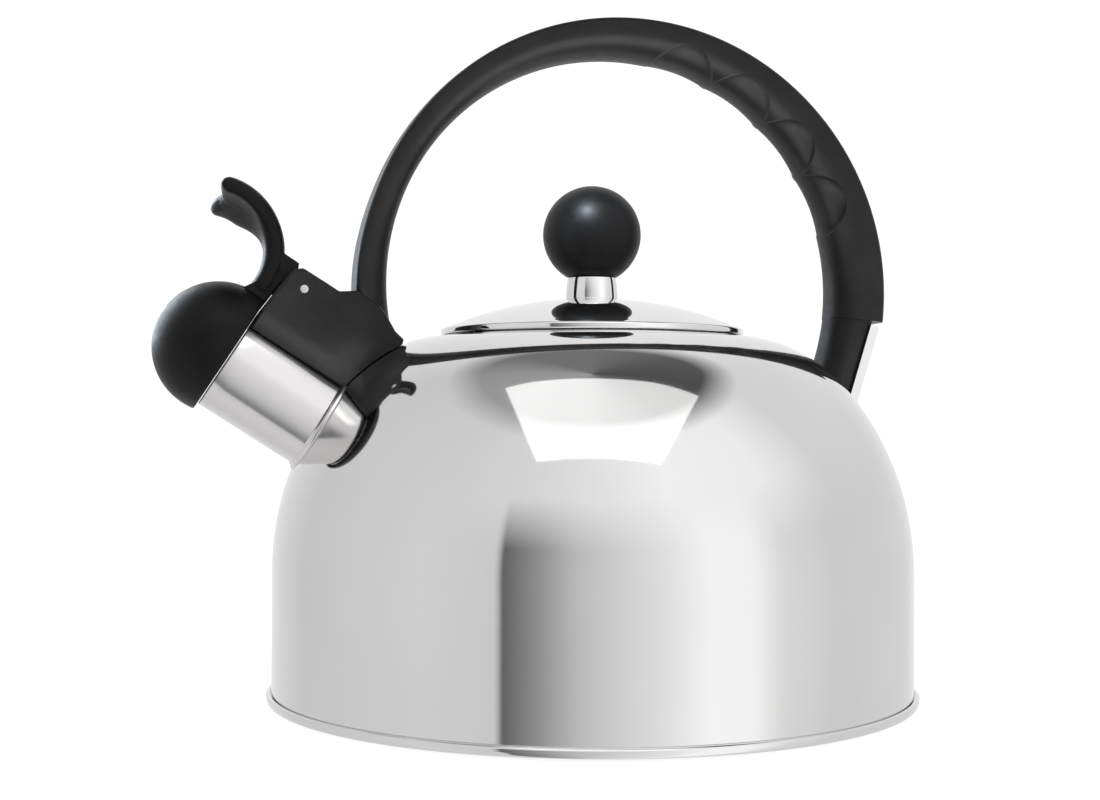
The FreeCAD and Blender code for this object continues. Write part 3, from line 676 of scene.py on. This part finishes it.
def make_cap():
    face = math.sqrt(CAP_RADIUS ** 2 - (CAP_OUT - CAP_FACE) ** 2)
    start = -math.degrees(math.asin((CAP_OUT - CAP_FACE) / CAP_RADIUS))
    dome = [(0, CAP_FACE), (face, CAP_FACE)] + arc((0, CAP_OUT), CAP_RADIUS, start, 90, 60)[1:-1]
    cap = lathe("cap", dome + [(0, CAP_OUT + CAP_RADIUS)], cap_frame, segments=160)
    arm = tube_of_rings("arm", [paddle_ring(index / 90) for index in range(91)], slim_end=True)
    root = rounded([(12, 1.5), (16, 1.5), (27, 0.6), (28.5, 3.5), (22, 7.3, 3), (14, 12), (12, 8)])
    root = prism("root", root, ARM_HALF - 0.4, spout_frame)
    knuckle = [(PIN_UP - 4.6, 4), (34.1, 4.4), (34.1, -0.6), (PIN_UP + 3.2, PIN_OUT + 3.9),
               (PIN_UP, PIN_OUT), (PIN_UP - 4.6, PIN_OUT + 2)]
    knuckle = prism("knuckle", knuckle, KNUCKLE_HALF, spout_frame)
    barrel = rod("barrel", 5.0, (PIN_UP, -KNUCKLE_HALF, PIN_OUT), (PIN_UP, KNUCKLE_HALF, PIN_OUT),
                 spout_frame, 96)
    combine(cap, "UNION", root, arm, knuckle, barrel)
    bore = rod("cap_bore", CAP_BORE, (0, 0, 0), (0, 0, CAP_STEP), spout_frame, 128)
    inner = CAP_RADIUS - CAP_WALL
    cut = math.degrees(math.asin((CAP_STEP - CAP_OUT) / inner))
    vault = [(0, CAP_STEP - 0.1)] + arc((0, CAP_OUT), inner, cut, 90, 30)[:-1]
    hollow = lathe("hollow", vault + [(0, CAP_OUT + inner)], cap_frame, segments=96)
    vent = rod("vent", 2.5, (0, 0, 10), (0, 0, 30), cap_frame)
    spring = rod("spring_room", 3.4, (PIN_UP, -SPRING_HALF, PIN_OUT), (PIN_UP, SPRING_HALF, PIN_OUT),
                 spout_frame)
    leg = block("leg_room", (PIN_UP - 6, -SPRING_HALF, PIN_OUT - 6),
                (PIN_UP + 3.6, SPRING_HALF, PIN_OUT), spout_frame)
    combine(cap, "DIFFERENCE", bore, hollow, vent, spring, leg)
    refine(cap, 0.34, 3)
    pin = rod("pin_bore", PIN_RADIUS + 0.05, (PIN_UP, -9, PIN_OUT), (PIN_UP, 9, PIN_OUT), spout_frame)
    combine(cap, "DIFFERENCE", pin)
    finish_shading(cap, 40)
    cap.name = "whistle_cap_moulding"
    return cap


# ---------------------------------------------------------------- small hardware


def make_pin():
    length = HOUSING_HALF + 0.12
    profile = rounded([(0, -length), (PIN_RADIUS, -length, 0.35), (PIN_RADIUS, length, 0.35),
                       (0, length)], closed=False)
    return lathe("pin", profile, lambda x, y, z: spout_frame(PIN_UP + x, z, PIN_OUT + y), segments=48)


def make_spring():
    """Torsion spring: wound round the pin, with one leg reaching back into the slot."""
    wire, coil, turns, pitch = 0.36, 2.05, 4.25, 0.8
    path = [(PIN_UP - coil, 1.7, PIN_OUT - 6.2 + step * 1.0) for step in range(6)]
    for step in range(int(turns * 32) + 1):
        angle = math.pi + 2 * math.pi * step / 32
        path.append((PIN_UP + coil * math.cos(angle), 1.7 - pitch * step / 32,
                     PIN_OUT - coil * math.sin(angle)))
    points = [spout_frame(*place) for place in path]
    rings = []
    for index, point in enumerate(points):
        ahead = points[min(index + 1, len(points) - 1)] - points[max(index - 1, 0)]
        side = ahead.cross(ACROSS).normalized()
        other = side.cross(ahead).normalized()
        rings.append([point + (side * math.cos(turn) + other * math.sin(turn)) * wire
                      for turn in [2 * math.pi * step / 12 for step in range(12)]])
    return tube_of_rings("torsion_spring", rings)


def make_pan_screw(name, place, head, shank_start, height=2.0):
    """A pan-head screw with a cross recess; its head rises along the frame's third axis."""
    top = head + height
    shank, wide_head = 1.65, 3.4
    profile = rounded([(0, shank_start), (shank, shank_start, 0.4), (shank, head),
                       (wide_head, head, 0.3), (wide_head, top, 1.2), (0, top)], closed=False)
    screw = lathe(name, profile, place, segments=64)
    for wide, deep in ((2.1, 0.42), (0.42, 2.1)):
        recess = block("recess", (-wide, -deep, top - 1.1), (wide, deep, top + 1), place)
        combine(screw, "DIFFERENCE", recess)
    finish_shading(screw)
    return screw


def make_whistle_ring():
    inner, outer = DISC_RADIUS + 0.02, CAP_BORE - 0.05
    profile = rounded([(inner, 1.75, 0.15), (outer, 1.75, 0.15), (outer, 5.35), (inner, 5.35)])
    return lathe("whistle_rim", profile, spout_frame, segments=96)


def make_whistle_disc(name, level):
    """A thin whistle disc, dished a little round its hole."""
    top, dish = level + 0.8, 0.25
    profile = rounded([(1.6, level - dish), (3.2, level - dish, 0.5), (4.4, level, 0.5),
                       (DISC_RADIUS, level, 0.1), (DISC_RADIUS, top, 0.1), (4.4, top, 0.5),
                       (3.2, top - dish, 0.5), (1.6, top - dish)])
    return lathe(name, profile, spout_frame, segments=96)


# ---------------------------------------------------------------- materials


class Nodes:
    """A node tree, and what it takes to fill it."""

    def __init__(self, tree):
        self.tree = tree

    def add(self, kind, values=(), **settings):
        node = self.tree.nodes.new(kind)
        for setting, value in settings.items():
            setattr(node, setting, value)
        for socket, value in dict(values).items():
            node.inputs[socket].default_value = value
        return node

    def link(self, source, target):
        self.tree.links.new(source, target)

    def ramp(self, value, stops):
        """Colours by value: each stop is (value, colour)."""
        node = self.add("ShaderNodeValToRGB")
        elements = node.color_ramp.elements
        while len(elements) < len(stops):
            elements.new(0.5)
        for element, (place, colour) in zip(elements, stops):
            element.position = place
            element.color = (*colour, 1)
        self.link(value, node.inputs["Fac"])
        return node.outputs["Color"]


class Shader(Nodes):
    """A principled material."""

    def __init__(self, name, **values):
        self.material = bpy.data.materials.new(name)
        self.material.use_nodes = True
        super().__init__(self.material.node_tree)
        self.surface = self.tree.nodes["Principled BSDF"]
        for socket, value in values.items():
            self.surface.inputs[socket.replace("_", " ")].default_value = value

    def position(self, stretch, tilt):
        mapping = self.add("ShaderNodeMapping", {"Scale": stretch, "Rotation": (0, tilt, 0)})
        self.link(self.add("ShaderNodeTexCoord").outputs["Object"], mapping.inputs["Vector"])
        return mapping.outputs["Vector"]

    def noise(self, scale, detail, stretch=(1, 1, 1), roughness=0.5, tilt=0.0):
        noise = self.add("ShaderNodeTexNoise",
                         {"Scale": scale, "Detail": detail, "Roughness": roughness})
        self.link(self.position(stretch, tilt), noise.inputs["Vector"])
        return noise.outputs["Fac"]

    def spread(self, value, low, high):
        """Stretch the middle of a noise's range, from 0.3 to 0.7, to run from low to high."""
        node = self.add("ShaderNodeMapRange",
                        {"From Min": 0.3, "From Max": 0.7, "To Min": low, "To Max": high})
        self.link(value, node.inputs["Value"])
        return node.outputs["Result"]

    def bump(self, height, strength, distance):
        node = self.add("ShaderNodeBump", {"Strength": strength, "Distance": distance * MM})
        self.link(height, node.inputs["Height"])
        self.link(node.outputs["Normal"], self.surface.inputs["Normal"])


def steel(name, tone, rough, waver, grain=(1, 1, 1), grain_bump=0.0, tilt=0.0):
    """Metal with a faint cloud in its tone, and fine marks along the grain that vary its polish."""
    shader = Shader(name, Metallic=1.0)
    cloud = shader.noise(22, 3)
    low = tuple(part * 0.96 for part in tone)
    shader.link(shader.ramp(cloud, [(0.3, low), (0.7, tone)]), shader.surface.inputs["Base Color"])
    marks = shader.noise(900, 5, grain, tilt=tilt)
    polish = shader.spread(marks, rough - waver, rough + waver)
    shader.link(polish, shader.surface.inputs["Roughness"])
    if grain_bump:
        shader.bump(marks, grain_bump, 0.02)
    return shader.material


def phenolic():
    """Black moulded phenolic: a matt skin with a fine grain and faint paler clouds."""
    shader = Shader("black_phenolic", Specular_IOR_Level=0.15)
    cloud = shader.noise(60, 5)
    shader.link(shader.ramp(cloud, [(0.3, (0.0035, 0.0033, 0.0034)), (0.75, (0.007, 0.0068, 0.007))]),
                shader.surface.inputs["Base Color"])
    polish = shader.spread(shader.noise(450, 3), 0.36, 0.46)
    shader.link(polish, shader.surface.inputs["Roughness"])
    shader.bump(shader.noise(1600, 4, roughness=0.65), 0.25, 0.06)
    return shader.material


def plain_metal(name, tone, rough):
    return steel(name, tone, rough, rough * 0.25, (1, 1, 8), 0.1)


def floor_paint():
    shader = Shader("pale_floor", Roughness=0.9)
    cloud = shader.noise(3, 2)
    shader.link(shader.ramp(cloud, [(0.3, (0.9, 0.9, 0.9)), (0.7, (0.93, 0.93, 0.93))]),
                shader.surface.inputs["Base Color"])
    shader.surface.inputs["Emission Color"].default_value = (1, 1, 1, 1)
    shader.surface.inputs["Emission Strength"].default_value = 0.6
    return shader.material


MATERIALS = {
    "polished_steel": steel("polished_steel", (0.80, 0.795, 0.79), 0.052, 0.014),
    "mirror_steel": steel("mirror_steel", (0.86, 0.858, 0.855), 0.035, 0.01),
    "satin_steel": steel("satin_steel", (0.78, 0.77, 0.765), 0.16, 0.025, grain=(0.06, 1, 1),
                         grain_bump=0.02, tilt=SPOUT_SLOPE),
    "brushed_steel": steel("brushed_steel", (0.66, 0.66, 0.66), 0.34, 0.06, grain_bump=0.2),
    "chrome": steel("chrome", (0.88, 0.885, 0.89), 0.03, 0.008),
    "fastener_steel": plain_metal("fastener_steel", (0.66, 0.66, 0.67), 0.25),
    "spring_steel": plain_metal("spring_steel", (0.42, 0.42, 0.43), 0.3),
    "aluminium": plain_metal("aluminium", (0.78, 0.78, 0.79), 0.36),
    "brass": plain_metal("brass", (0.78, 0.60, 0.28), 0.3),
    "phenolic": phenolic(),
}


def add_piece(thing, body, slot, *replaced):
    """Place a finished piece: the body it rides on, its finish and the CAD nodes it stands for."""
    thing.data.materials.clear()
    thing.data.materials.append(MATERIALS[slot])
    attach(thing, body)
    if replaced:
        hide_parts(*replaced)


# ---------------------------------------------------------------- the kettle

add_piece(make_body(), "kettle", "polished_steel", "body_shell")
add_piece(make_rim(), "kettle", "polished_steel", "base_pan")
add_piece(make_base_cover(), "kettle", "brushed_steel", "base_cover")
add_piece(make_spout(), "kettle", "satin_steel", "spout_tube")
add_piece(make_collar(), "kettle", "satin_steel", "spout_collar")
add_piece(make_handle(), "kettle", "phenolic", "handle")
add_piece(make_pin(), "kettle", "fastener_steel", "hinge_pin")
add_piece(make_spring(), "kettle", "spring_steel", "hinge_spring")
add_piece(make_pan_screw("housing_screw", lambda x, y, z: spout_frame(z, y, FRONT_SCREW_OUT + x),
                         head=SLOT_FLOOR + 0.05, shank_start=14.7, height=2.2),
          "kettle", "fastener_steel", "front_screw")
add_piece(make_pan_screw("bracket_screw", lambda x, y, z: bracket_frame(z, y, REAR_SCREW_UP + x),
                         head=0.1, shank_start=-9.5), "kettle", "fastener_steel", "rear_screw")
add_piece(make_lid(), "lid", "mirror_steel", "lid_shell")
add_piece(make_ferrule(), "lid", "chrome", "knob_ferrule")
add_piece(make_ball(), "lid", "phenolic", "knob_ball")
add_piece(make_cap(), "whistle", "phenolic", "whistle_cap")
add_piece(make_whistle_ring(), "whistle", "aluminium", "whistle_ring")
add_piece(make_whistle_disc("front_whistle_disc", 2.0), "whistle", "aluminium", "whistle_front_disc")
add_piece(make_whistle_disc("back_whistle_disc", 4.0), "whistle", "aluminium", "whistle_back_disc")

slots = {part["node"]: part["material_slot"] for part in frame["record"]["subparts"]}
for node, thing in frame["nodes"].items():
    for index in range(len(thing.material_slots)):
        thing.material_slots[index].material = MATERIALS[slots[node]]

bevel = frame["nodes"]["rear_bracket"].modifiers.new("eased_edges", "BEVEL")
bevel.width = 0.25 * MM
bevel.segments = 3
bevel.limit_method = "ANGLE"

# ---------------------------------------------------------------- camera

VIEW_AZIMUTH = math.radians(-14.6)
VIEW_DISTANCE = 470.75
EYE_HEIGHT = 81.6
FOCAL_LENGTH = 51.95
AIM_LEFT = math.radians(1.50)
AIM_UP = math.radians(0.74)
ROLL = math.radians(0.12)

toward = Vector((math.sin(VIEW_AZIMUTH), -math.cos(VIEW_AZIMUTH), 0))
lens = bpy.data.cameras.new("camera")
lens.sensor_width = 36
lens.lens = FOCAL_LENGTH
lens.clip_start = 0.01
camera = bpy.data.objects.new("camera", lens)
aim = (-toward).to_track_quat("-Z", "Y").to_matrix().to_4x4()
turned = Matrix.Rotation(AIM_LEFT, 4, "Y") @ Matrix.Rotation(AIM_UP, 4, "X")
turned = turned @ Matrix.Rotation(ROLL, 4, "Z")
eye = (toward * VIEW_DISTANCE + Vector((0, 0, EYE_HEIGHT))) * MM
camera.matrix_world = Matrix.Translation(eye) @ aim @ turned
bpy.context.scene.collection.objects.link(camera)
bpy.context.scene.camera = camera

# ---------------------------------------------------------------- studio

beside = Vector((math.cos(VIEW_AZIMUTH), math.sin(VIEW_AZIMUTH), 0))


def area_light(name, place, aim_at, size, power, colour=(1, 1, 1)):
    """A softbox: place and aim_at are (right, toward the camera, up) in metres."""
    light = bpy.data.lights.new(name, "AREA")
    light.shape = "RECTANGLE"
    light.size, light.size_y = size
    light.energy = power
    light.color = colour
    box = bpy.data.objects.new(name, light)
    here = beside * place[0] + toward * place[1] + Vector((0, 0, place[2]))
    there = beside * aim_at[0] + toward * aim_at[1] + Vector((0, 0, aim_at[2]))
    back = (here - there).normalized()
    across = beside if abs(back.z) > 0.99 else Vector((0, 0, 1)).cross(back).normalized()
    turn = Matrix((across, back.cross(across), back)).transposed().to_4x4()
    box.matrix_world = Matrix.Translation(here) @ turn
    box.visible_camera = False
    bpy.context.scene.collection.objects.link(box)
    return box


def light_only(light, *names):
    """Let a light reach only these pieces."""
    reached = bpy.data.collections.new(light.name + "_pieces")
    for name in names:
        reached.objects.link(bpy.data.objects[name])
    light.light_linking.receiver_collection = reached


class Room(Nodes):
    """The world's node tree, which tells the surroundings by the direction of a ray."""

    def math(self, operation, *values):
        node = self.add("ShaderNodeMath", operation=operation)
        for socket, value in zip(node.inputs, values):
            if isinstance(value, (int, float)):
                socket.default_value = value
            else:
                self.link(value, socket)
        return node.outputs[0]

    def along(self, ray, direction):
        """How far the ray goes along a direction."""
        node = self.add("ShaderNodeVectorMath", {1: tuple(direction)}, operation="DOT_PRODUCT")
        self.link(ray, node.inputs[0])
        return node.outputs["Value"]

    def greys(self, value, stops):
        return self.ramp(value, [(place, (tone, tone, tone)) for place, tone in stops])

    def blend(self, share, first, second):
        node = self.add("ShaderNodeMix", data_type="RGBA")
        for socket, value in ((0, share), (6, first), (7, second)):
            self.link(value, node.inputs[socket])
        return node.outputs[2]


def bearing(degrees):
    """A place on the ramps that go round the room: 0 degrees is toward the camera, 90 is right."""
    return 0.5 + degrees / 360


def make_studio():
    """A pale room round the object. Its walls have a dark gap a little left of the camera, which
    fades out higher up, under a dim ceiling. The camera itself sees plain white in its place."""
    world = bpy.data.worlds.new("studio")
    world.use_nodes = True
    bpy.context.scene.world = world
    world.node_tree.nodes.clear()
    room = Room(world.node_tree)

    ray = room.add("ShaderNodeTexCoord").outputs["Generated"]
    side, front, up = room.along(ray, beside), room.along(ray, toward), room.along(ray, (0, 0, 1))
    turn = room.math("ADD", room.math("DIVIDE", room.math("ARCTAN2", side, front), 2 * math.pi), 0.5)
    flat = room.math("ADD", room.math("MULTIPLY", side, side), room.math("MULTIPLY", front, front))
    height = room.math("MULTIPLY", room.math("ARCTAN2", up, room.math("SQRT", flat)), 2 / math.pi)

    walls = room.greys(turn, [
        (0.0, 0.95), (bearing(-120), 0.70), (bearing(-60), 0.78), (bearing(-31.5), 0.74),
        (bearing(-30), 0.14), (bearing(-17), 0.36), (bearing(-4), 0.64), (bearing(10), 0.80),
        (bearing(24), 0.93), (bearing(40), 1.15), (bearing(56), 1.12), (bearing(68), 0.86),
        (bearing(90), 0.76), (bearing(140), 0.78), (1.0, 0.95)])
    upper = room.greys(turn, [
        (0.0, 0.92), (bearing(-120), 0.72), (bearing(-50), 0.78), (bearing(-20), 0.85),
        (bearing(30), 1.1), (bearing(70), 1.05), (bearing(100), 0.82), (bearing(140), 0.84),
        (1.0, 0.92)])
    ceiling = room.greys(turn, [
        (0.0, 0.20), (bearing(-150), 0.20), (bearing(-110), 0.36), (bearing(-60), 0.42),
        (bearing(0), 0.35), (bearing(45), 0.16), (bearing(90), 0.09), (bearing(140), 0.12),
        (1.0, 0.20)])
    lifted = room.greys(height, [(0.0, 0.0), (0.13, 0.0), (0.34, 1.0), (1.0, 1.0)])
    overhead = room.greys(height, [(0.0, 0.0), (0.60, 0.0), (0.70, 1.0), (1.0, 1.0)])
    seen = room.blend(overhead, room.blend(lifted, walls, upper), ceiling)
    tint = room.add("ShaderNodeMix", {0: 1.0, 7: (1.0, 0.995, 0.998, 1)}, data_type="RGBA",
                    blend_type="MULTIPLY")
    room.link(seen, tint.inputs[6])
    light = room.add("ShaderNodeBackground")
    room.link(tint.outputs[2], light.inputs["Color"])
    plain = room.add("ShaderNodeBackground", {"Color": (1, 1, 1, 1), "Strength": 1.05})
    shown = room.add("ShaderNodeMixShader")
    room.link(room.add("ShaderNodeLightPath").outputs["Is Camera Ray"], shown.inputs[0])
    room.link(light.outputs[0], shown.inputs[1])
    room.link(plain.outputs[0], shown.inputs[2])
    room.link(shown.outputs[0], room.add("ShaderNodeOutputWorld").inputs["Surface"])


def make_floor():
    low = min(cad_box[0][2], 0) / MM - 0.02
    reach = 6000
    floor = block("floor", (-reach, -reach, low - 5), (reach, reach, low))
    floor.data.materials.append(floor_paint())
    floor.visible_glossy = False


make_studio()
make_floor()
# The black mouldings' highlights come from lights that reach nothing else.
SOFTBOX, BELOW_SOFTBOX = (0.04, 0.388, 0.70), (0.04, 0.388, 0.0)
SOFTBOX_SIZE = (0.62, 0.536)
KNOB, LEG, CAP = (0, 0, 0.13), (-0.10, 0, 0.12), (-0.12, 0, 0.12)
COOL = (0.80, 0.90, 1.0)
area_light("overhead_softbox", SOFTBOX, BELOW_SOFTBOX, SOFTBOX_SIZE, 0.8)
black_fill = area_light("black_fill", SOFTBOX, BELOW_SOFTBOX, SOFTBOX_SIZE, 4.0, COOL)
light_only(black_fill, "ball_knob", "handle_moulding")
knob_light = area_light("knob_light", (-0.10, 0.36, 0.62), KNOB, (0.2, 0.2), 12.0, COOL)
light_only(knob_light, "ball_knob")
leg_light = area_light("leg_light", (-0.62, -0.55, 0.45), LEG, (0.5, 0.7), 2.5, COOL)
light_only(leg_light, "handle_moulding")
cap_light = area_light("cap_light", (-0.62, -0.40, 0.38), CAP, (0.5, 0.5), 4.0, COOL)
light_only(cap_light, "whistle_cap_moulding")
table_glow = area_light("table_glow", (-0.05, 0.25, 0.004), (-0.05, 0.25, 1), (1.0, 0.8), 13.0)
light_only(table_glow, "handle_moulding")
bpy.context.scene.view_settings.view_transform = "Standard"
